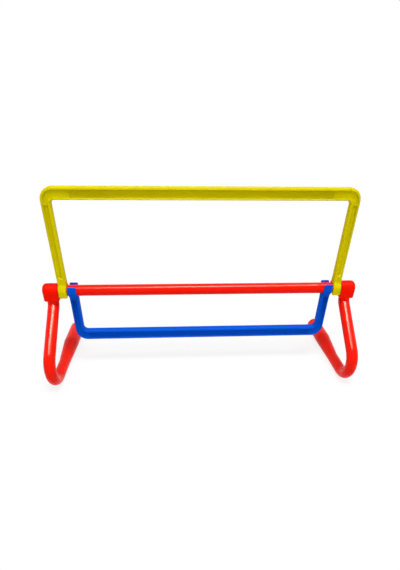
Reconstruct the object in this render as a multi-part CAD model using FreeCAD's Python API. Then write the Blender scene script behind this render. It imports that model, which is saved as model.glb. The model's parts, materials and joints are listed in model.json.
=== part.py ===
"""Speed hurdle: a low bar on two bent legs, with an upper and a lower frame that turn on the bar.

Millimetres. X runs along the bar, Y points away from the viewer, Z points up.
The pieces are drawn about the middle of the bar and moved at the end, so that the origin
lies on the floor under the middle of the overall box.
"""
import FreeCAD
import Part

import math
import os

V = FreeCAD.Vector

# Crossbar
low_height = 152.4          # floor to the top of the bar
bar_diameter = 18.0
bar_wall = 1.6

# Legs and feet
leg_plane = 247.9           # middle of the bar to the plane of each leg
leg_diameter = 18.6
leg_wall = 2.3
neck_drop = 17.0            # bar axis to the start of the bend under the block
neck_radius = 14.2          # bend under the block, along the tube's axis
nose_radius = 30.2          # bend at the front, along the tube's axis
leg_slope = 37.8            # degrees below level, running forward
sole_flat = 0.4             # depth of the flat along the underside
toe_run = 42.0              # straight run behind the nose
swell_length = 58.0         # run over which the foot grows thicker
heel_run = 59.2             # thick run up to the rear end
foot_diameter = 26.4

# Foot plugs
plug_flange = 2.4           # thickness of the closing face
plug_flange_inset = 0.5     # flange edge inside the foot's edge
plug_edge_bevel = 1.2
plug_shank_length = 12.0
plug_wall = 2.0
plug_clearance = 0.05       # radial, shank in the foot

# End blocks
block_crown = 12.0          # radius of the rounded top, and half the depth below it
block_drop = 14.7           # bar axis to the flat underside
block_gap = 0.9             # clear of the upper frame
block_overhang = 2.7        # outer face past the leg
block_end_wall = 3.0        # behind the bar's end
block_end_round = 6.0
block_edge_round = 1.0
socket_depth = 3.5          # the leg's top in the block
fit_clearance = 0.05        # radial, bar and leg in the block

# Clamp screws
screw_diameter = 3.5
screw_head_diameter = 6.6
screw_head_height = 1.3
screw_head_bevel = 0.4
screw_reach = 24.0          # bar axis to the screw's tip
screw_clearance = 0.25      # radial, in block and bar
screw_pilot_clearance = 0.05    # radial, in the leg
screw_pilot_spare = 1.5     # pilot hole past the screw's tip
screw_recess_diameter = 8.0
screw_floor_height = 10.6   # bar axis to the floor of the recess

# Both frames
arm_width = 13.6
frame_depth = 12.6
frame_outer_corner = 18.9
frame_inner_corner = 6.5
frame_edge_round = 2.0
arm_rim = 3.3               # beside the channel in an arm
arm_channel_depth = 1.6
arm_channel_start = 22.0    # bar axis to the channel's end near the clip
rail_outer_rim = 3.2
rail_inner_rim = 3.6
rail_channel_depth = 2.4
rail_channel_end = 42.0     # frame's outer side to the end of the channel in the rail
channel_edge_bevel = 1.1

# Clips at the ends of the arms
clip_clearance = 0.08       # radial, on the bar
clip_wall = 3.2
clip_neck_radius = 6.0      # hollow curve from the arm to the clip
clip_reach = 9.6            # bar axis to the tips of the jaws
clip_tip_round = 2.6
clip_lip_angle = 25.0       # degrees past the middle, where the mouth is narrowest
clip_flare = 1.4            # mouth widens by this at each tip

# Upper frame, standing
upper_arm_centre = 227.2    # middle of the bar to the middle of each arm
upper_reach = 158.4         # bar axis to the outer edge of the rail
upper_rail = 17.8

# Lower frame, hanging
lower_arm_centre = 212.1
lower_reach = 91.3
lower_rail = 17.9

overrun = 5.0               # cuts run past the faces by this
same_place = 0.001          # points closer than this count as one
smooth_angle = 0.02         # radians; faces meeting at less than this run on smoothly

bar_radius = bar_diameter / 2
leg_radius = leg_diameter / 2
foot_radius = foot_diameter / 2
bar_height = low_height - bar_radius
block_inner = upper_arm_centre + arm_width / 2 + block_gap
block_outer = leg_plane + leg_radius + block_overhang
bar_half_length = block_outer - block_end_wall
leg_top = socket_depth - block_drop
clip_bore = bar_radius + clip_clearance
clip_crown = clip_bore + clip_wall

# Route of a leg in its own plane: neck bend, slope, nose, then the run along the floor
slope = math.radians(leg_slope)
neck_turn = 90.0 - leg_slope
nose_turn = 180.0 - leg_slope
neck_centre = V(0, -neck_radius, -neck_drop)
slope_start = neck_centre + V(0, neck_radius * math.sin(slope), -neck_radius * math.cos(slope))
slope_direction = V(0, -math.cos(slope), -math.sin(slope))
toe_axis = leg_radius - sole_flat - bar_height
heel_axis = foot_radius - sole_flat - bar_height
nose_drop = slope_start.z - (toe_axis + nose_radius + nose_radius * math.cos(slope))
slope_length = nose_drop / math.sin(slope)
nose_start = slope_start + slope_direction * slope_length
nose_centre = nose_start + V(0, nose_radius * math.sin(slope), -nose_radius * math.cos(slope))
toe_end = nose_centre.y + toe_run
swell_end = toe_end + swell_length
heel_end = swell_end + heel_run
front_reach = nose_centre.y - nose_radius - leg_radius
rear_reach = heel_end + plug_flange
bar_offset = -(front_reach + rear_reach) / 2

along_x = V(1, 0, 0)
along_y = V(0, 1, 0)
along_z = V(0, 0, 1)


def circle_wire(centre, direction, radius):
    return Part.Wire(Part.makeCircle(radius, centre, direction))


def disc(centre, direction, radius):
    return Part.Face(circle_wire(centre, direction, radius))


def bar_cylinder(radius, start, stop):
    """Cylinder about the bar's axis from one X to another."""
    return Part.makeCylinder(radius, stop - start, V(start, 0, 0), along_x)


def upright_cylinder(radius, x, bottom, top):
    """Cylinder standing on the plane of the bar's axis, at one X."""
    return Part.makeCylinder(radius, top - bottom, V(x, 0, bottom), along_z)


def joined(shapes):
    """One solid out of overlapping or touching ones."""
    return shapes[0].multiFuse(shapes[1:]).removeSplitter()


def arc(start, middle, stop):
    return Part.Arc(start, middle, stop).toShape()


def line(start, stop):
    return Part.LineSegment(start, stop).toShape()


def crossbar():
    """Round tube, drilled through near each end for the screw."""
    tube = bar_cylinder(bar_radius, -bar_half_length, bar_half_length)
    tube = tube.cut(bar_cylinder(bar_radius - bar_wall, -bar_half_length - overrun, bar_half_length + overrun))
    for side in (-1, 1):
        tube = tube.cut(upright_cylinder(screw_diameter / 2 + screw_clearance, side * leg_plane,
                                         -bar_diameter, bar_diameter))
    return tube


def block_profile():
    """Outline across the bar: round on top, flat in front, behind and below."""
    top_front = V(0, -block_crown, 0)
    top_rear = V(0, block_crown, 0)
    low_front = V(0, -block_crown, -block_drop)
    low_rear = V(0, block_crown, -block_drop)
    edges = [arc(top_front, V(0, 0, block_crown), top_rear), line(top_rear, low_rear),
             line(low_rear, low_front), line(low_front, top_front)]
    return Part.Face(Part.Wire(edges))


def edges_where(shape, test):
    """Edges whose every sampled point passes the test."""
    return [edge for edge in shape.Edges if all(test(point) for point in edge.discretize(5))]


def near(a, b):
    return abs(a - b) < same_place


def sharp_edges(shape):
    """Edges where two faces meet at an angle."""
    kept = []
    for edge in shape.Edges:
        faces = shape.ancestorsOfType(edge, Part.Face)
        if len(faces) != 2:
            continue
        middle = edge.valueAt((edge.FirstParameter + edge.LastParameter) / 2)
        normals = [face.normalAt(*face.Surface.parameter(middle)) for face in faces]
        if normals[0].getAngle(normals[1]) > smooth_angle:
            kept.append(edge)
    return kept


def right_block():
    """Block on the right end: bar bore from inside, leg socket below, screw hole from the top."""
    body = block_profile().extrude(along_x * (block_outer - block_inner))
    body.translate(along_x * block_inner)
    outer_rim = edges_where(body, lambda p: near(p.x, block_outer))
    end_rim = [edge for edge in outer_rim if not near(edge.CenterOfMass.z, -block_drop)]
    body = body.makeFillet(block_end_round, end_rim)
    body = body.makeFillet(block_edge_round, sharp_edges(body))
    body = body.cut(bar_cylinder(bar_radius + fit_clearance, block_inner - overrun, bar_half_length))
    body = body.cut(upright_cylinder(leg_radius + fit_clearance, leg_plane, -block_drop - overrun, leg_top))
    body = body.cut(upright_cylinder(screw_recess_diameter / 2, leg_plane,
                                     screw_floor_height, block_crown + overrun))
    return body.cut(upright_cylinder(screw_diameter / 2 + screw_clearance, leg_plane,
                                     -block_drop, block_crown + overrun))


def left_block():
    return right_block().mirror(V(0, 0, 0), along_x)


def leg_run(inset, past_end):
    """Slope, nose and foot of a leg, as thick as the tube less an inset all round."""
    thin = leg_radius - inset
    thick = foot_radius - inset
    nose_end = V(0, nose_centre.y, toe_axis)
    slope_part = disc(slope_start, slope_direction, thin).extrude(slope_direction * slope_length)
    nose_part = disc(nose_start, slope_direction, thin).revolve(nose_centre, along_x, nose_turn)
    toe_part = disc(nose_end, along_y, thin).extrude(along_y * toe_run)
    swell_start_wire = circle_wire(V(0, toe_end, toe_axis), along_y, thin)
    swell_end_wire = circle_wire(V(0, swell_end, heel_axis), along_y, thick)
    swell_part = Part.makeLoft([swell_start_wire, swell_end_wire], True, True)
    heel_part = disc(V(0, swell_end, heel_axis), along_y, thick).extrude(along_y * (heel_run + past_end))
    return joined([slope_part, nose_part, toe_part, swell_part, heel_part])


def leg():
    """Bent tube with a solid neck, a pilot hole for the screw and a flat along its underside."""
    neck_end = V(0, 0, -neck_drop)
    stub = upright_cylinder(leg_radius, 0, -neck_drop, leg_top)
    bend = disc(neck_end, along_z, leg_radius).revolve(neck_centre, -along_x, neck_turn)
    body = joined([stub, bend, leg_run(0, 0)])
    body = body.cut(leg_run(leg_wall, overrun))
    body = body.cut(upright_cylinder(screw_diameter / 2 + screw_pilot_clearance, 0,
                                     -screw_reach - screw_pilot_spare, leg_top + overrun))
    length = rear_reach - front_reach + overrun + overrun
    below = Part.makeBox(foot_diameter, length, foot_diameter,
                         V(-foot_radius, front_reach - overrun, -bar_height - foot_diameter))
    return body.cut(below)


def foot_plug():
    """Cup pushed into the rear end of a foot, with a bevelled face that seats on the tube's end."""
    flange = Part.makeCylinder(foot_radius - plug_flange_inset, plug_flange, V(0, heel_end, heel_axis), along_y)
    rear_edges = edges_where(flange, lambda p: near(p.y, rear_reach))
    flange = flange.makeChamfer(plug_edge_bevel, rear_edges)
    shank_radius = foot_radius - leg_wall - plug_clearance
    shank_start = V(0, heel_end - plug_shank_length, heel_axis)
    shank = Part.makeCylinder(shank_radius, plug_shank_length, shank_start, along_y)
    hollow = Part.makeCylinder(shank_radius - plug_wall, plug_shank_length, shank_start, along_y)
    return joined([flange, shank.cut(hollow)])


def clamp_screw():
    """Pan-headed screw standing on the leg's axis, its head on the floor of the recess."""
    head_top = screw_floor_height + screw_head_height
    head = upright_cylinder(screw_head_diameter / 2, 0, screw_floor_height, head_top)
    head = head.makeChamfer(screw_head_bevel, edges_where(head, lambda p: near(p.z, head_top)))
    shank = upright_cylinder(screw_diameter / 2, 0, -screw_reach, screw_floor_height)
    return joined([head, shank])


def both_sides(make_shape):
    """The same piece in the plane of each leg."""
    pieces = []
    for side in (-1, 1):
        piece = make_shape()
        piece.translate(along_x * (side * leg_plane))
        pieces.append(piece)
    return pieces


def arch(half_width, top, corner):
    """Plate as deep as a frame, standing on the bar's axis, with its two upper corners rounded."""
    plate = Part.makeBox(half_width + half_width, frame_depth, top, V(-half_width, -frame_depth / 2, 0))
    corners = edges_where(plate, lambda p: near(abs(p.x), half_width) and near(p.z, top))
    return plate.makeFillet(corner, corners)


def clip_blank(x):
    """Clip before boring: round crown, straight jaws with rounded tips, and a hollow-sided neck to the arm."""
    start = x - arm_width / 2
    hollow_y = frame_depth / 2 + clip_neck_radius
    hollow_z = math.sqrt((clip_crown + clip_neck_radius) ** 2 - hollow_y ** 2)
    meeting_share = clip_crown / (clip_crown + clip_neck_radius)
    neck_half = hollow_y * meeting_share
    neck_foot = hollow_z * meeting_share
    crown = bar_cylinder(clip_crown, start, start + arm_width)
    jaws = Part.makeBox(arm_width, clip_crown + clip_crown, clip_reach, V(start, -clip_crown, -clip_reach))
    tips = edges_where(jaws, lambda p: near(abs(p.y), clip_crown) and near(p.z, -clip_reach))
    jaws = jaws.makeFillet(clip_tip_round, tips)
    neck = Part.makeBox(arm_width, neck_half + neck_half, hollow_z - neck_foot, V(start, -neck_half, neck_foot))
    for side in (-1, 1):
        hollow_centre = V(start - overrun, side * hollow_y, hollow_z)
        neck = neck.cut(Part.makeCylinder(clip_neck_radius, arm_width + overrun + overrun, hollow_centre, along_x))
    return joined([crown, jaws, neck])


def clip_mouth(half_width):
    """Gap between the jaws, narrowest at the lips and flared to the tips, right across a frame."""
    lip_y = clip_bore * math.cos(math.radians(clip_lip_angle))
    lip_z = -clip_bore * math.sin(math.radians(clip_lip_angle))
    tip_y = lip_y + clip_flare
    bottom = -clip_reach - overrun
    outline = [(-lip_y, lip_z), (lip_y, lip_z), (tip_y, -clip_reach), (tip_y, bottom),
               (-tip_y, bottom), (-tip_y, -clip_reach), (-lip_y, lip_z)]
    points = [V(-half_width, y, z) for y, z in outline]
    return Part.Face(Part.makePolygon(points)).extrude(along_x * (half_width + half_width))


def channel(left, right, bottom, top, depth):
    """Cutters for one channel sunk alike in the front and the back of a frame."""
    cutters = []
    for side in (-1, 1):
        floor = side * (frame_depth / 2 - depth)
        face = side * (frame_depth / 2 + overrun)
        corner = V(left, min(floor, face), bottom)
        cutters.append(Part.makeBox(right - left, abs(face - floor), top - bottom, corner))
    return cutters


def frame_channels(outer, reach, rail):
    """One channel in each arm and one along the rail."""
    arm_top = reach - frame_outer_corner
    near_side = outer - arm_width + arm_rim
    far_side = outer - arm_rim
    rail_half = outer - rail_channel_end
    cutters = channel(near_side, far_side, arm_channel_start, arm_top, arm_channel_depth)
    cutters += channel(-far_side, -near_side, arm_channel_start, arm_top, arm_channel_depth)
    cutters += channel(-rail_half, rail_half, reach - rail + rail_inner_rim, reach - rail_outer_rim,
                       rail_channel_depth)
    return cutters


def channel_rims(body, cutters):
    """Edges where the channels break the front and the back face."""
    rims = []
    boxes = [cutter.BoundBox for cutter in cutters]
    for box in boxes:
        box.enlarge(same_place)
    for edge in body.Edges:
        middle = edge.CenterOfMass
        if near(abs(middle.y), frame_depth / 2) and any(box.isInside(middle) for box in boxes):
            rims.append(edge)
    return rims


def swing_frame(arm_centre, reach, rail):
    """U-shaped moulding standing on the bar, with a channelled front and back and a clip under each arm."""
    outer = arm_centre + arm_width / 2
    inner = arm_centre - arm_width / 2
    body = arch(outer, reach, frame_outer_corner).cut(arch(inner, reach - rail, frame_inner_corner))
    body = joined([body, clip_blank(-arm_centre), clip_blank(arm_centre)])
    body = body.makeFillet(frame_edge_round, sharp_edges(body))
    cutters = frame_channels(outer, reach, rail)
    for cutter in cutters:
        body = body.cut(cutter)
    body = body.makeChamfer(channel_edge_bevel, channel_rims(body, cutters))
    body = body.cut(bar_cylinder(clip_bore, -outer - overrun, outer + overrun))
    return body.cut(clip_mouth(outer + overrun))


def upper_frame():
    return swing_frame(upper_arm_centre, upper_reach, upper_rail)


def lower_frame():
    """Hangs under the bar, inside the upper frame's arms."""
    return swing_frame(lower_arm_centre, lower_reach, lower_rail).mirror(V(0, 0, 0), along_z)


def main():
    left_leg, right_leg = both_sides(leg)
    left_plug, right_plug = both_sides(foot_plug)
    nodes = {
        "crossbar": crossbar(),
        "left_end_block": left_block(),
        "right_end_block": right_block(),
        "left_leg": left_leg,
        "right_leg": right_leg,
        "left_foot_plug": left_plug,
        "right_foot_plug": right_plug,
        "clamp_screws": Part.makeCompound(both_sides(clamp_screw)),
        "upper_frame": upper_frame(),
        "lower_frame": lower_frame(),
    }
    os.makedirs("parts", exist_ok=True)
    for name, shape in nodes.items():
        shape.translate(V(0, bar_offset, bar_height))
        shape.exportStep("parts/" + name + ".step")


main()
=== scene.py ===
"""Looks of the speed hurdle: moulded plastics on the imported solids, frames with rounder edges and deeper
channels, screws with a cross recess and a thread, a white studio and the camera of the photo.

Metres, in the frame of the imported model. X runs along the bar, Y away from the viewer, Z up.
"""

import json
import math
from collections import namedtuple

import bmesh
import bpy
from mathutils import Matrix, Vector


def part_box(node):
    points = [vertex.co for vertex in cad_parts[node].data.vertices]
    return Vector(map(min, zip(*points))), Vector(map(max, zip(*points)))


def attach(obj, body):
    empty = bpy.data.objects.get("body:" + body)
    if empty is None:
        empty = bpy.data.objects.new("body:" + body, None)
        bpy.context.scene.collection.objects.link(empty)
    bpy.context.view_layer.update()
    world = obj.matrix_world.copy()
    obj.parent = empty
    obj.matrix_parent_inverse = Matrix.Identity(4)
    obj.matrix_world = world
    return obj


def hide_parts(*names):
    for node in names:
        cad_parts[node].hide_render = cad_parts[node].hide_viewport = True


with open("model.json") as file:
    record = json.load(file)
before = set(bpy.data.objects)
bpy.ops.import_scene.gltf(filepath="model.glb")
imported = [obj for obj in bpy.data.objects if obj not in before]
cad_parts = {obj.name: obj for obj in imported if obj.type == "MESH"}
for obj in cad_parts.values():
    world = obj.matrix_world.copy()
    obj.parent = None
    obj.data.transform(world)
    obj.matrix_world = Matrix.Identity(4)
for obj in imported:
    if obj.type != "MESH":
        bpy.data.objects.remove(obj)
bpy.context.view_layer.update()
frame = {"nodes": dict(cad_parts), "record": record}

# Camera, from fitting the solids' outline to the photo
photo_height = 570                  # pixels
focal_length = 380                  # pixels
axis_row = 360                      # pixel row where the optical axis meets the picture
sensor_width = 36.0                 # millimetres, along the picture's long side
camera_place = Vector((-0.0432, -0.5962, 0.4075))
camera_pitch = 34.667               # degrees below level
camera_yaw = 4.065                  # degrees towards +X
camera_roll = -1.075                # degrees

# Colours, as sRGB digits
tube_red = "ff1401"
block_red = "ff1401"
leg_red = "ff1802"
plug_red = "e21208"
frame_yellow = "dcce00"
frame_blue = "005ade"
screw_grey = "2a2524"
screw_red = "e01604"
gloss_tint = "ffe0cc"               # of what the plastics reflect
front_warmth = "fff0dc"             # of the lamp in front
plain_white = "ffffff"
floor_grey = "d8d8d8"               # what the floor throws back on the object

# Finish of each plastic: gloss is the specular level, the shade share how strongly painted shade darkens
# corners and recesses, softness the edges' radius, what isn't given is zero
Finish = namedtuple("Finish", "roughness gloss wear_share grime_share grain_share softness",
                    defaults=(0.0, 0.0, 0.0, 0.0))
edge_softness = 0.0006
frame_softness = 0.0008
tube_finish = Finish(roughness=0.2, gloss=0.11)
leg_finish = Finish(roughness=0.2, gloss=0.12)
block_finish = Finish(roughness=0.42, gloss=0.03, wear_share=0.02, grime_share=0.15, grain_share=1.0,
                      softness=edge_softness)
plug_finish = Finish(roughness=0.42, gloss=0.03, wear_share=0.03, grime_share=0.3, grain_share=1.0,
                     softness=edge_softness)
yellow_finish = Finish(roughness=0.42, gloss=0.02, wear_share=0.03, grime_share=0.3, grain_share=1.0,
                       softness=frame_softness)
# The blue's larger share of painted shade darkens its channels and arms
blue_finish = Finish(roughness=0.42, gloss=0.02, wear_share=0.03, grime_share=0.8, grain_share=1.0,
                     softness=frame_softness)
lacquer_finish = Finish(roughness=0.4, gloss=0.03, wear_share=0.1, grime_share=0.4, grain_share=1.0,
                        softness=edge_softness)
plastic_ior = 1.49

# Patterns in the surfaces, where size is that of the lumps and detail the number of finer layers
cloud_size = 0.06                   # slow drift of the colour
cloud_detail = 3.0
pigment_size = 0.0009               # fine speckle of the pigment
pigment_detail = 2.0
grain_size = 0.0005                 # grain that the mould leaves
grain_detail = 2.0
grain_depth = 0.000006
wave_size = 0.012                   # slow waviness of a moulded wall
wave_detail = 1.0
wave_depth = 0.000006
scuff_size = 0.004                  # streaks where the surface has rubbed
scuff_detail = 5.0
scuff_stretch_shares = (0.06, 1.0, 0.35)
painted_shade_reach = 0.012                 # how far from a corner the painted shade reaches
seam_width = 0.0005                 # parting line of a mould
seam_depth = 0.00012
edge_samples = 6
painted_shade_samples = 8

# How strong the patterns are
noise_shares = (0.3, 0.7)           # noise values between which a pattern runs from least to most
drift_shares = (0.94, 1.05)         # darkest and lightest drift of the colour
speckle_onset_shares = (0.35, 0.65)  # noise values where a speckle begins and is full
speckle_share = 0.08                # of a speckle's colour where it is full
speckle_tone_share = 0.8            # of the plastic's own colour, in a speckle
painted_shade_open_shares = (0.55, 0.97)    # openness of a corner with the most painted shade and with none
painted_shade_tone_share = 0.4              # of the plastic's own colour, in the painted shade
edge_turn_shares = (0.99, 0.90)     # cosine of soft to flat surface where wear begins and is full
seam_share = 0.35                   # of the seam's own colour on its line
seam_tone_share = 0.45              # of the plastic's own colour, in the seam
matt_shares = (0.85, 1.15)          # least and most of the plastic's own roughness
scuff_onset_shares = (0.62, 0.74)   # noise values where a scuff begins and is full
scuff_matt_share = 0.02             # roughness that a scuff adds
grain_matt_share = 0.08             # and what it adds besides on a grained surface

# Steel of the screws
steel_mottle_detail = 4.0
steel_grain_detail = 3.0
steel_tone_shares = (0.7, 1.3)      # darkest and lightest mottle
steel_matt_shares = (0.25, 0.45)    # least and most roughness

# Screws
head_height = 0.0013
recess_span = 0.0040
recess_width = 0.0010
recess_depth = 0.0008
recess_taper_share = 0.6
thread_core = 0.00132
thread_crest = 0.00172
thread_pitch = 0.0013
thread_start = 0.0020               # plain shank under the head
tip_length = 0.0030
tip_share = 0.15                    # of the shank's radius, left at the very tip
head_dome_shares = ((0.02, 1.0), (0.45, 0.98), (0.75, 0.88), (0.92, 0.68), (1.0, 0.42), (1.0, 0.0))
head_segments = 48
thread_segments = 24
rings_per_turn = 8

# Frames, with the rounded section and the channels that the photo shows
arm_width = 0.0136
frame_depth = 0.0126
outer_corner = 0.0189
inner_corner = 0.0065
clip_end = 0.0145                   # bar axis to where a clip goes over into its arm
clip_round = 0.0020                 # edges there
round_run = 0.0050                  # crowned edges of the arms and the rail, across the face
round_drop = 0.0024                 # the same, in depth
round_start = 0.0220                # bar axis to where an arm has its full rounding
arm_rim = 0.0033                    # beside the channel in an arm
arm_wall = 0.0009                   # run of that channel's sloping sides
upper_rim = 0.0036                  # above the channel in a rail
upper_wall = 0.0010
lower_rim = 0.0010                  # below it
lower_wall = 0.0022
channel_end_wall = 0.0009           # run of the sloping ends of an arm's channel
arm_channel_depth = 0.0028
rail_channel_depth = 0.0038
corner_channel_depth = 0.0020       # shallower, round the corner from one channel to the other
arm_channel_gap = 0.0015            # channel's far end to the inner corner
clip_rounding = (clip_round, clip_round)
full_rounding = (round_run, round_drop)
arm_rims = ((arm_rim, arm_wall), (arm_rim, arm_wall))
weld_distance = 0.000001
corner_steps = 16
round_steps = 7
smooth_angle = 35                   # degrees, up to which neighbouring faces look like one

# What differs between the two frames
upper_rail = 0.0178
lower_rail = 0.0179
upper_channel_start = 0.0220        # bar axis to the channel in an arm
lower_channel_start = 0.0150
upper_rail_gap = 0.0420             # frame's outer side to the channel in the rail
lower_rail_gap = 0.0205
upper_end_wall = 0.0009             # run of the sloping ends of that channel
lower_end_wall = 0.0060
FrameSizes = namedtuple("FrameSizes", "rail channel_start rail_gap end_wall")
upper_sizes = FrameSizes(upper_rail, upper_channel_start, upper_rail_gap, upper_end_wall)
lower_sizes = FrameSizes(lower_rail, lower_channel_start, lower_rail_gap, lower_end_wall)
standing = 1                        # side of the bar on which a frame lies
hanging = -1

# Studio
floor_half = 6.0
key_place = Vector((0.145, -0.56, 2.08))
key_aim = Vector((0.0, -0.05, 0.15))  # the strip's too
key_width = 0.9
key_depth = 0.6
key_power = 28.0                    # watts
strip_place = Vector((0.145, -0.46, 2.12))
strip_width = 1.8
strip_depth = 0.18
strip_power = 180.0                 # watts, seen in the gloss only
front_place = Vector((-0.1, -1.7, 0.95))
front_aim = Vector((0.0, 0.0, 0.15))
front_size = 1.0
front_power = 1.0                   # watts
sky_strength = 0.54
floor_shadow_share = 0.18           # how much of the floor's own shading the camera sees
fade_start = 0.3                    # from here outwards the floor turns plain white
fade_end = 0.6
square_corners = ((-1, -1), (1, -1), (1, 1), (-1, 1))


# Numbers and colours

def held_share(value):
    """The value, held between 0 and 1."""
    return min(1.0, max(0.0, value))


def between(first, second, share):
    """A number some share of the way from one to another."""
    return first + (second - first) * share


def all_between(firsts, seconds, share):
    """Numbers some share of the way from one row of them to another."""
    return [between(first, second, share) for first, second in zip(firsts, seconds)]


def linear(share):
    """Light of one channel, by the curve of the sRGB standard."""
    if share <= 0.04045:
        return share / 12.92
    return ((share + 0.055) / 1.055) ** 2.4


def paint(code):
    """Linear colour for six sRGB digits."""
    return tuple(linear(channel / 255) for channel in bytes.fromhex(code)) + (1.0,)


def shade(colour, share):
    """The colour made darker or lighter by a share."""
    return tuple(min(1.0, channel * share) for channel in colour[:3]) + (1.0,)


# Nodes of materials

def new_material(name):
    """Material with no nodes in it yet."""
    material = bpy.data.materials.new(name)
    material.use_nodes = True
    material.node_tree.nodes.clear()
    return material


def put(tree, kind, inputs=None, **settings):
    """Adds a node. An input takes a number, a colour or another node's output."""
    made = tree.nodes.new(kind)
    for name, value in settings.items():
        setattr(made, name, value)
    for name, value in (inputs or {}).items():
        if isinstance(value, bpy.types.NodeSocket):
            tree.links.new(value, made.inputs[name])
        else:
            made.inputs[name].default_value = value
    return made


def math_node(tree, operation, first, second=0.0):
    return put(tree, "ShaderNodeMath", {0: first, 1: second}, operation=operation).outputs[0]


def noise(tree, place, size, detail):
    """Noise from 0 to 1 whose lumps are about one size across."""
    inputs = {"Vector": place, "Scale": 1 / size, "Detail": detail}
    return put(tree, "ShaderNodeTexNoise", inputs).outputs[0]


def ranged(tree, value, low, high, to_low, to_high):
    """The value moved from one range to another, and held within that."""
    inputs = {"Value": value, "From Min": low, "From Max": high, "To Min": to_low, "To Max": to_high}
    return put(tree, "ShaderNodeMapRange", inputs).outputs["Result"]


def mixed(tree, share, first, second):
    """Colour between two others. The node's colour sockets are found by number, as names repeat in it."""
    inputs = {0: share, 6: first, 7: second}
    return put(tree, "ShaderNodeMix", inputs, data_type="RGBA").outputs[2]


def bumped(tree, height, distance, normal):
    """Normal of a surface that a pattern raises by up to a distance."""
    inputs = {"Strength": 1.0, "Distance": distance, "Height": height, "Normal": normal}
    return put(tree, "ShaderNodeBump", inputs).outputs["Normal"]


# Plastics

def scuffs(tree, place):
    """Fine streaks where the surface has rubbed, 1 on a streak."""
    inputs = {"Vector": place, "Scale": scuff_stretch_shares}
    stretched = put(tree, "ShaderNodeMapping", inputs).outputs["Vector"]
    return ranged(tree, noise(tree, stretched, scuff_size, scuff_detail), *scuff_onset_shares, 0.0, 1.0)


def flat_normal(tree):
    return put(tree, "ShaderNodeNewGeometry").outputs["Normal"]


def soft_normal(tree, softness):
    """Normal with softened edges, or the plain one where there is no softness."""
    if softness == 0:
        return flat_normal(tree)
    return put(tree, "ShaderNodeBevel", {"Radius": softness}, samples=edge_samples).outputs["Normal"]


def worn_edges(tree, soft, cloud):
    """Patches along the softened edges, 1 where an edge is worn most."""
    inputs = {0: soft, 1: flat_normal(tree)}
    facing = put(tree, "ShaderNodeVectorMath", inputs, operation="DOT_PRODUCT").outputs["Value"]
    return math_node(tree, "MULTIPLY", ranged(tree, facing, *edge_turn_shares, 0.0, 1.0), cloud)


def speckled_colour(tree, place, colour, cloud):
    """Colour that drifts slowly, with fine speckles of pigment."""
    dark_share, light_share = drift_shares
    drift = mixed(tree, cloud, shade(colour, dark_share), shade(colour, light_share))
    pigment = noise(tree, place, pigment_size, pigment_detail)
    speckle = ranged(tree, pigment, *speckle_onset_shares, 0.0, speckle_share)
    return mixed(tree, speckle, drift, shade(colour, speckle_tone_share))


def worn_colour_and_painted_shade(tree, place, colour, cloud, soft, finish):
    """The speckled colour with painted shade darkening the corners and recesses, and paler, worn edges."""
    speckled = speckled_colour(tree, place, colour, cloud)
    # Painted shade: the colour darkens where ambient occlusion finds corners and recesses
    inputs = {"Distance": painted_shade_reach}
    openness = put(tree, "ShaderNodeAmbientOcclusion", inputs, samples=painted_shade_samples).outputs["AO"]
    shade_mask = ranged(tree, openness, *painted_shade_open_shares, finish.grime_share, 0.0)
    shaded_speckle = mixed(tree, shade_mask, speckled, shade(colour, painted_shade_tone_share))
    wear = math_node(tree, "MULTIPLY", worn_edges(tree, soft, cloud), finish.wear_share)
    return mixed(tree, wear, shaded_speckle, paint(plain_white))


def moulded_normal(tree, place, soft, finish):
    """Normal with the mould's grain and a slow waviness."""
    grain = noise(tree, place, grain_size, grain_detail)
    wave = noise(tree, place, wave_size, wave_detail)
    raised = math_node(tree, "MULTIPLY", grain, finish.grain_share * grain_depth / wave_depth)
    return bumped(tree, math_node(tree, "ADD", raised, wave), wave_depth, soft)


def used_roughness(tree, place, cloud, finish):
    """Roughness that drifts with the colour and rises on the scuffs."""
    smooth, rough = (finish.roughness * share for share in matt_shares)
    drift = ranged(tree, cloud, *noise_shares, smooth, rough)
    rise = scuff_matt_share + grain_matt_share * finish.grain_share
    return math_node(tree, "ADD", drift, math_node(tree, "MULTIPLY", scuffs(tree, place), rise))


def plastic(name, code, finish, seam=None):
    """Moulded and used plastic, with painted shade in its corners and recesses. A seam, where there is
    one, is a function that draws its line.
    """
    material = new_material(name)
    tree = material.node_tree
    place = put(tree, "ShaderNodeTexCoord").outputs["Object"]
    colour = paint(code)
    cloud = noise(tree, place, cloud_size, cloud_detail)
    soft = soft_normal(tree, finish.softness)
    shown = worn_colour_and_painted_shade(tree, place, colour, cloud, soft, finish)
    normal = moulded_normal(tree, place, soft, finish)
    if seam:
        line = seam(tree, place)
        line_share = math_node(tree, "MULTIPLY", line, seam_share)
        shown = mixed(tree, line_share, shown, shade(colour, seam_tone_share))
        normal = bumped(tree, line, seam_depth, normal)
    surface = put(tree, "ShaderNodeBsdfPrincipled", {
        "Base Color": shown,
        "Roughness": used_roughness(tree, place, cloud, finish),
        "Normal": normal,
        "Specular IOR Level": finish.gloss,
        "Specular Tint": paint(gloss_tint),
        "IOR": plastic_ior,
    })
    put(tree, "ShaderNodeOutputMaterial", {"Surface": surface.outputs["BSDF"]})
    return material


def block_seam(tree, place):
    """Parting line over a block, above the bar's axis, 1 on the line."""
    low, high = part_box("crossbar")
    depth = put(tree, "ShaderNodeSeparateXYZ", {"Vector": place}).outputs["Y"]
    away = math_node(tree, "ABSOLUTE", math_node(tree, "SUBTRACT", depth, (low.y + high.y) / 2))
    return ranged(tree, away, 0.0, seam_width, 1.0, 0.0)


def bar_plastic():
    """Smooth glossy red of the bar."""
    return plastic("tube_red", tube_red, tube_finish)


def leg_plastic():
    """Smooth glossy red of the legs."""
    return plastic("leg_red", leg_red, leg_finish)


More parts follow.
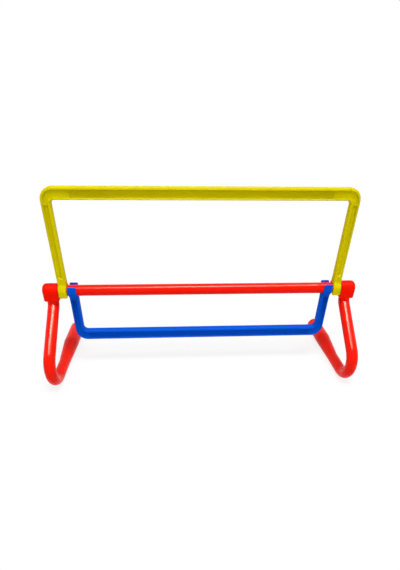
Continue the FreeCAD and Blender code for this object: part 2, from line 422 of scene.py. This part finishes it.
def block_plastic():
    """Grained red of the end blocks, with the seam of their mould."""
    return plastic("block_red", block_red, block_finish, block_seam)


def plug_plastic():
    """Grained, darker red of the foot plugs."""
    return plastic("plug_red", plug_red, plug_finish)


def yellow_plastic():
    """Grained yellow of the upper frame."""
    return plastic("frame_yellow", frame_yellow, yellow_finish)


def blue_plastic():
    """Grained blue of the lower frame, with more painted shade darkening its channels."""
    return plastic("frame_blue", frame_blue, blue_finish)


def screw_lacquer():
    """Red lacquer on the screw heads, which wears as a plastic does and gets the same painted shade in its
    corners.
    """
    return plastic("screw_lacquer", screw_red, lacquer_finish)


# Other materials

def screw_steel():
    """Dark zinc-plated steel: mottled and satin."""
    material = new_material("black_steel")
    tree = material.node_tree
    place = put(tree, "ShaderNodeTexCoord").outputs["Object"]
    dark, light = (shade(paint(screw_grey), share) for share in steel_tone_shares)
    colour = mixed(tree, noise(tree, place, pigment_size, steel_mottle_detail), dark, light)
    grain = noise(tree, place, grain_size, steel_grain_detail)
    matt = ranged(tree, grain, *noise_shares, *steel_matt_shares)
    inputs = {"Base Color": colour, "Roughness": matt, "Metallic": 1.0}
    surface = put(tree, "ShaderNodeBsdfPrincipled", inputs).outputs["BSDF"]
    put(tree, "ShaderNodeOutputMaterial", {"Surface": surface})
    return material


def seen_directly(tree):
    """1 for rays from the camera, a mirror or glass."""
    path = put(tree, "ShaderNodeLightPath").outputs
    either = math_node(tree, "MAXIMUM", path["Is Camera Ray"], path["Is Glossy Ray"])
    return math_node(tree, "MAXIMUM", either, path["Is Transmission Ray"])


def floor_material():
    """Pale floor that the camera sees as white, with the object's shadow on it."""
    material = new_material("studio_floor")
    tree = material.node_tree
    place = put(tree, "ShaderNodeNewGeometry").outputs["Position"]
    away = put(tree, "ShaderNodeVectorMath", {0: place}, operation="LENGTH").outputs["Value"]
    shadow = ranged(tree, away, fade_start, fade_end, floor_shadow_share, 0.0)
    bounced = put(tree, "ShaderNodeBsdfDiffuse", {"Color": paint(floor_grey)}).outputs["BSDF"]
    shaded = put(tree, "ShaderNodeBsdfDiffuse", {"Color": paint(plain_white)}).outputs["BSDF"]
    plain = put(tree, "ShaderNodeEmission", {"Strength": 1.0}).outputs["Emission"]
    shown = put(tree, "ShaderNodeMixShader", {0: shadow, 1: plain, 2: shaded}).outputs["Shader"]
    choice = {0: seen_directly(tree), 1: bounced, 2: shown}
    surface = put(tree, "ShaderNodeMixShader", choice).outputs["Shader"]
    put(tree, "ShaderNodeOutputMaterial", {"Surface": surface})
    return material


# Meshes

def object_from(name, data):
    """Object in the scene for a mesh, a lamp or a camera."""
    made = bpy.data.objects.new(name, data)
    bpy.context.scene.collection.objects.link(made)
    return made


def mesh_from(name, build):
    """Mesh that a function fills."""
    work = bmesh.new()
    build(work)
    bmesh.ops.recalc_face_normals(work, faces=work.faces)
    mesh = bpy.data.meshes.new(name)
    work.to_mesh(mesh)
    work.free()
    return mesh


def skin(work, rings):
    """Quads between neighbouring rings of points, with a cap on the first and the last."""
    made = [[work.verts.new(point) for point in points] for points in rings]
    for first, second in zip(made, made[1:]):
        for here in range(len(first)):
            after = (here + 1) % len(first)
            work.faces.new((first[here], first[after], second[after], second[here]))
    work.faces.new(made[0])
    work.faces.new(made[-1])


def joined(name, placed_meshes):
    """One smoothly shaded mesh from several, each with its place."""
    work = bmesh.new()
    for mesh, place in placed_meshes:
        start = len(work.verts)
        work.from_mesh(mesh)
        work.verts.ensure_lookup_table()
        bmesh.ops.transform(work, matrix=place, verts=work.verts[start:])
    for face in work.faces:
        face.smooth = True
    mesh = bpy.data.meshes.new(name)
    work.to_mesh(mesh)
    work.free()
    mesh.set_sharp_from_angle(angle=math.radians(smooth_angle))
    return mesh


# Screws

def circle_point(radius, turn_share, height):
    """Point on a level circle about the Z axis, some share of a turn along."""
    turn = 2 * math.pi * turn_share
    return Vector((radius * math.cos(turn), radius * math.sin(turn), height))


def head_ring(radius, height):
    return [circle_point(radius, step / head_segments, height) for step in range(head_segments)]


def recess_bar(work, turn):
    """One bar of the cross, narrower at its floor and standing out at the top of the head."""
    turning = Matrix.Rotation(turn, 3, "Z")
    floor_level = (head_height - recess_depth, recess_taper_share)
    top_level = (head_height + recess_depth, 2 - recess_taper_share)
    rings = []
    for height, share in (floor_level, top_level):
        half_long = recess_span / 2 * share
        half_wide = recess_width / 2 * share
        rings.append([turning @ Vector((x * half_long, y * half_wide, height)) for x, y in square_corners])
    skin(work, rings)


def screw_head(radius):
    """Domed head standing on its own underside, with a tapered cross recess."""
    rings = [head_ring(radius * across, head_height * up) for across, up in head_dome_shares]
    head = object_from("screw_head", mesh_from("screw_head", lambda work: skin(work, rings)))
    helpers = [head]
    for name, turn in (("recess_a", 0.0), ("recess_b", math.pi / 2)):
        cutter = object_from(name, mesh_from(name, lambda work: recess_bar(work, turn)))
        cut = head.modifiers.new(name, "BOOLEAN")
        cut.operation = "DIFFERENCE"
        cut.object = cutter
        helpers.append(cutter)
    graph = bpy.context.evaluated_depsgraph_get()
    mesh = bpy.data.meshes.new_from_object(head.evaluated_get(graph))
    for helper in helpers:
        bpy.data.objects.remove(helper)
    return mesh


def crest_share(depth, turn_share):
    """How far a point of the shank stands out, from the core at 0 to the thread's crest at 1."""
    if depth <= thread_start:
        return 0.0
    wind_share = (depth / thread_pitch + turn_share) % 1.0
    return max(0.0, 1 - abs(2 * wind_share - 1) * 2)


def screw_thread(work, length):
    """Shank hanging under the head, with a thread wound on it and a tapered tip."""
    step = thread_pitch / rings_per_turn
    rings = []
    for level in range(int(length / step) + 1):
        depth = min(level * step, length)
        taper_share = min(1.0, tip_share + (length - depth) / tip_length)
        points = []
        for corner in range(thread_segments):
            turn_share = corner / thread_segments
            radius = between(thread_core, thread_crest, crest_share(depth, turn_share)) * taper_share
            points.append(circle_point(radius, turn_share, -depth))
        rings.append(points)
    skin(work, rings)


def clamp_screws():
    """Both screws as one piece, in the place of the plain CAD ones."""
    low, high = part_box("clamp_screws")
    radius = (high.y - low.y) / 2
    seat = high.z - head_height
    head = screw_head(radius)
    for face in head.polygons:
        face.material_index = 1     # the lacquer, second of the piece's two materials
    shank = mesh_from("screw_shank", lambda work: screw_thread(work, seat - low.z))
    placed = []
    for side in (-1, 1):
        place = Matrix.Translation((side * (high.x - radius), (low.y + high.y) / 2, seat))
        placed += [(head, place), (shank, place)]
    piece = object_from("clamp_screws_detailed", joined("clamp_screws_detailed", placed))
    piece.data.materials.append(screw_steel())
    piece.data.materials.append(screw_lacquer())
    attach(piece, "stand")
    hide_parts("clamp_screws")


# Frames

def face_height(steps_in, rounding, rims, depth):
    """How far the face stands out from the middle, some way in from its outer and its inner edge."""
    run, drop = rounding
    left_share = 1 - min(*steps_in, run) / run
    crowned = frame_depth / 2 - drop + drop * math.sqrt(1 - left_share ** 2)
    sunk = min(crowned, frame_depth / 2 - depth)
    sunk_share = held_share(min((step - rim) / wall for step, (rim, wall) in zip(steps_in, rims)))
    return between(crowned, sunk, sunk_share)


def edge_steps(rim, wall):
    """Distances from one edge of the face to the floor of its channel."""
    curve = [rim * (step / round_steps) ** 2 for step in range(round_steps)]
    return curve + [rim, rim + wall / 2, rim + wall, round_run]


def section(outer_point, inner_point, rounding, rims, depth):
    """Ring of points (across, up, depth) round the moulding at one place of its run."""
    span = inner_point - outer_point
    width = span.length
    outer_rim, inner_rim = rims
    inner_steps = [width - step for step in reversed(edge_steps(*inner_rim))]
    front = []
    back = []
    for step in edge_steps(*outer_rim) + [width / 2] + inner_steps:
        place = outer_point + span * (step / width)
        height = face_height((step, width - step), rounding, rims, depth)
        front.append((place.x, place.y, -height))
        back.append((place.x, place.y, height))
    return front + back[::-1]


def arm_sections(outer, inner, corner, channel_start):
    """Sections up one arm, from its clip to the inner corner."""
    channel_stop = corner - arm_channel_gap
    levels = [between(clip_end, round_start, step / round_steps) for step in range(round_steps + 1)]
    for place in (channel_start, channel_stop - channel_end_wall):
        levels += [place, place + channel_end_wall / 2, place + channel_end_wall]
    rings = []
    for level in sorted(levels):
        round_share = held_share((level - clip_end) / (round_start - clip_end))
        rounding = all_between(clip_rounding, full_rounding, round_share)
        deep_share = held_share((channel_stop - level) / channel_end_wall)
        sunk_share = held_share((level - channel_start) / channel_end_wall)
        depth = between(corner_channel_depth, arm_channel_depth, deep_share) * sunk_share
        rings.append(section(Vector((outer, level)), Vector((inner, level)), rounding, arm_rims, depth))
    return rings


def outer_path(outer, inner, reach, corner, share):
    """Point on the outer edge, some share of the way round the corner."""
    rise = reach - outer_corner - corner
    bend = math.pi / 2 * outer_corner
    run = outer - outer_corner - inner + inner_corner
    way = share * (rise + bend + run)
    turn = math.pi / 2 * held_share((way - rise) / bend)
    centre = Vector((outer - outer_corner, reach - outer_corner))
    point = centre + outer_corner * Vector((math.cos(turn), math.sin(turn)))
    return point + Vector((min(0.0, rise + bend - way), min(0.0, way - rise)))


def corner_sections(outer, inner, reach, corner, rail_rims):
    """Sections round one corner, where the arm's rims turn into the rail's."""
    centre = Vector((inner - inner_corner, corner))
    rings = []
    for step in range(corner_steps + 1):
        share = step / corner_steps
        turn = math.pi / 2 * share
        inner_point = centre + inner_corner * Vector((math.cos(turn), math.sin(turn)))
        outer_point = outer_path(outer, inner, reach, corner, share)
        rims = [all_between(*pair, share) for pair in zip(arm_rims, rail_rims)]
        rings.append(section(outer_point, inner_point, full_rounding, rims, corner_channel_depth))
    return rings


def rail_sections(outer, reach, sizes, rims):
    """Sections from the end of the rail's channel to the middle of the rail."""
    half = outer - sizes.rail_gap
    rings = []
    for place in (half, half - sizes.end_wall / 2, half - sizes.end_wall, 0.0):
        deep_share = held_share((half - place) / sizes.end_wall)
        depth = between(corner_channel_depth, rail_channel_depth, deep_share)
        outer_point = Vector((place, reach))
        inner_point = Vector((place, reach - sizes.rail))
        rings.append(section(outer_point, inner_point, full_rounding, rims, depth))
    return rings


def moulding(work, outer, reach, sizes, axis, side):
    """U of one frame between its clips, standing on or hanging from the bar's axis."""
    inner = outer - arm_width
    corner = reach - sizes.rail - inner_corner
    # The rail's outer edge is its upper one on the standing frame and its lower one on the hanging frame
    rims = ((upper_rim, upper_wall), (lower_rim, lower_wall))[::side]
    right = arm_sections(outer, inner, corner, sizes.channel_start)
    right += corner_sections(outer, inner, reach, corner, rims)
    right += rail_sections(outer, reach, sizes, rims)
    left = [[(-across, up, depth) for across, up, depth in points] for points in right[-2::-1]]
    rings = []
    for points in right + left:
        rings.append([axis + Vector((across, depth, side * up)) for across, up, depth in points])
    skin(work, rings)
    bmesh.ops.remove_doubles(work, verts=work.verts, dist=weld_distance)


def clips_of(node, axis, side):
    """Both clips of a frame, as its solid has them, closed where the arms begin."""
    work = bmesh.new()
    work.from_mesh(frame["nodes"][node].data)
    bmesh.ops.remove_doubles(work, verts=work.verts, dist=weld_distance)
    cut = axis + Vector((0, 0, side * clip_end))
    everything = work.verts[:] + work.edges[:] + work.faces[:]
    bmesh.ops.bisect_plane(work, geom=everything, plane_co=cut, plane_no=(0, 0, side), clear_outer=True)
    bmesh.ops.holes_fill(work, edges=[edge for edge in work.edges if edge.is_boundary], sides=0)
    mesh = bpy.data.meshes.new(node + "_clips")
    work.to_mesh(mesh)
    work.free()
    return mesh


def detailed_frame(node, side, sizes, material):
    """One frame with rounder edges and deeper channels than its solid, in the place of that."""
    low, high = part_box(node)
    joint = next(row for row in frame["record"]["behaviour"]["joints"] if row["child"] == node)
    axis = Vector(joint["pos_m"])
    reach = high.z - axis.z if side == standing else axis.z - low.z
    run = mesh_from(node + "_run", lambda work: moulding(work, high.x, reach, sizes, axis, side))
    still = Matrix.Identity(4)
    placed = [(clips_of(node, axis, side), still), (run, still)]
    piece = object_from(node + "_moulding", joined(node + "_moulding", placed))
    piece.data.materials.append(material)
    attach(piece, node)
    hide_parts(node)


def swing_frames():
    """Both frames, in the place of the plainer CAD ones."""
    detailed_frame("upper_frame", standing, upper_sizes, yellow_plastic())
    detailed_frame("lower_frame", hanging, lower_sizes, blue_plastic())


# CAD nodes that stay

def dress(material, *names):
    """The material on some CAD nodes."""
    for name in names:
        mesh = frame["nodes"][name].data
        mesh.materials.clear()
        mesh.materials.append(material)


def dress_nodes():
    dress(bar_plastic(), "crossbar")
    dress(block_plastic(), "left_end_block", "right_end_block")
    dress(leg_plastic(), "left_leg", "right_leg")
    dress(plug_plastic(), "left_foot_plug", "right_foot_plug")


# Studio and camera

def lamp(name, place, aim, size, power, code):
    """Rectangular lamp that faces a point."""
    data = bpy.data.lights.new(name, "AREA")
    data.shape = "RECTANGLE"
    data.size, data.size_y = size
    data.energy = power
    data.color = paint(code)[:3]
    made = object_from(name, data)
    made.location = place
    made.rotation_mode = "QUATERNION"
    made.rotation_quaternion = (aim - place).to_track_quat("-Z", "Y")
    return made


def floor_sheet(work):
    work.faces.new([work.verts.new((x * floor_half, y * floor_half, 0)) for x, y in square_corners])


def floor():
    """Wide floor on which the object stands."""
    made = object_from("floor", mesh_from("floor", floor_sheet))
    made.data.materials.append(floor_material())


def sky():
    """Soft light from all round, which the camera sees as white."""
    world = bpy.data.worlds.new("studio_sky")
    bpy.context.scene.world = world
    world.use_nodes = True
    tree = world.node_tree
    tree.nodes.clear()
    strength = ranged(tree, seen_directly(tree), 0.0, 1.0, sky_strength, 1.0)
    inputs = {"Color": paint(plain_white), "Strength": strength}
    shown = put(tree, "ShaderNodeBackground", inputs).outputs["Background"]
    put(tree, "ShaderNodeOutputWorld", {"Surface": shown})


def camera():
    """Camera at the photo's viewpoint, with the photo's framing."""
    data = bpy.data.cameras.new("camera")
    data.sensor_width = sensor_width
    data.lens = focal_length / photo_height * sensor_width
    data.shift_y = (axis_row - photo_height / 2) / photo_height
    pitch, yaw, roll = (math.radians(angle) for angle in (camera_pitch, camera_yaw, camera_roll))
    ahead = Vector((math.sin(yaw) * math.cos(pitch), math.cos(yaw) * math.cos(pitch), -math.sin(pitch)))
    level = Vector((math.cos(yaw), -math.sin(yaw), 0))
    down = ahead.cross(level)
    right = level * math.cos(roll) + down * math.sin(roll)
    below = down * math.cos(roll) - level * math.sin(roll)
    turned = Matrix((right, -below, -ahead)).transposed().to_4x4()
    made = object_from("camera", data)
    made.matrix_world = Matrix.Translation(camera_place) @ turned
    bpy.context.scene.camera = made


def studio():
    """White studio with a soft key lamp, a strip for the streaks in the gloss and a weak front lamp."""
    bpy.context.scene.view_settings.view_transform = "Standard"
    floor()
    sky()
    lamp("key", key_place, key_aim, (key_width, key_depth), key_power, plain_white)
    strip = lamp("strip", strip_place, key_aim, (strip_width, strip_depth), strip_power, plain_white)
    strip.visible_diffuse = False
    lamp("front", front_place, front_aim, (front_size, front_size), front_power, front_warmth)
    camera()


dress_nodes()
swing_frames()
clamp_screws()
studio()
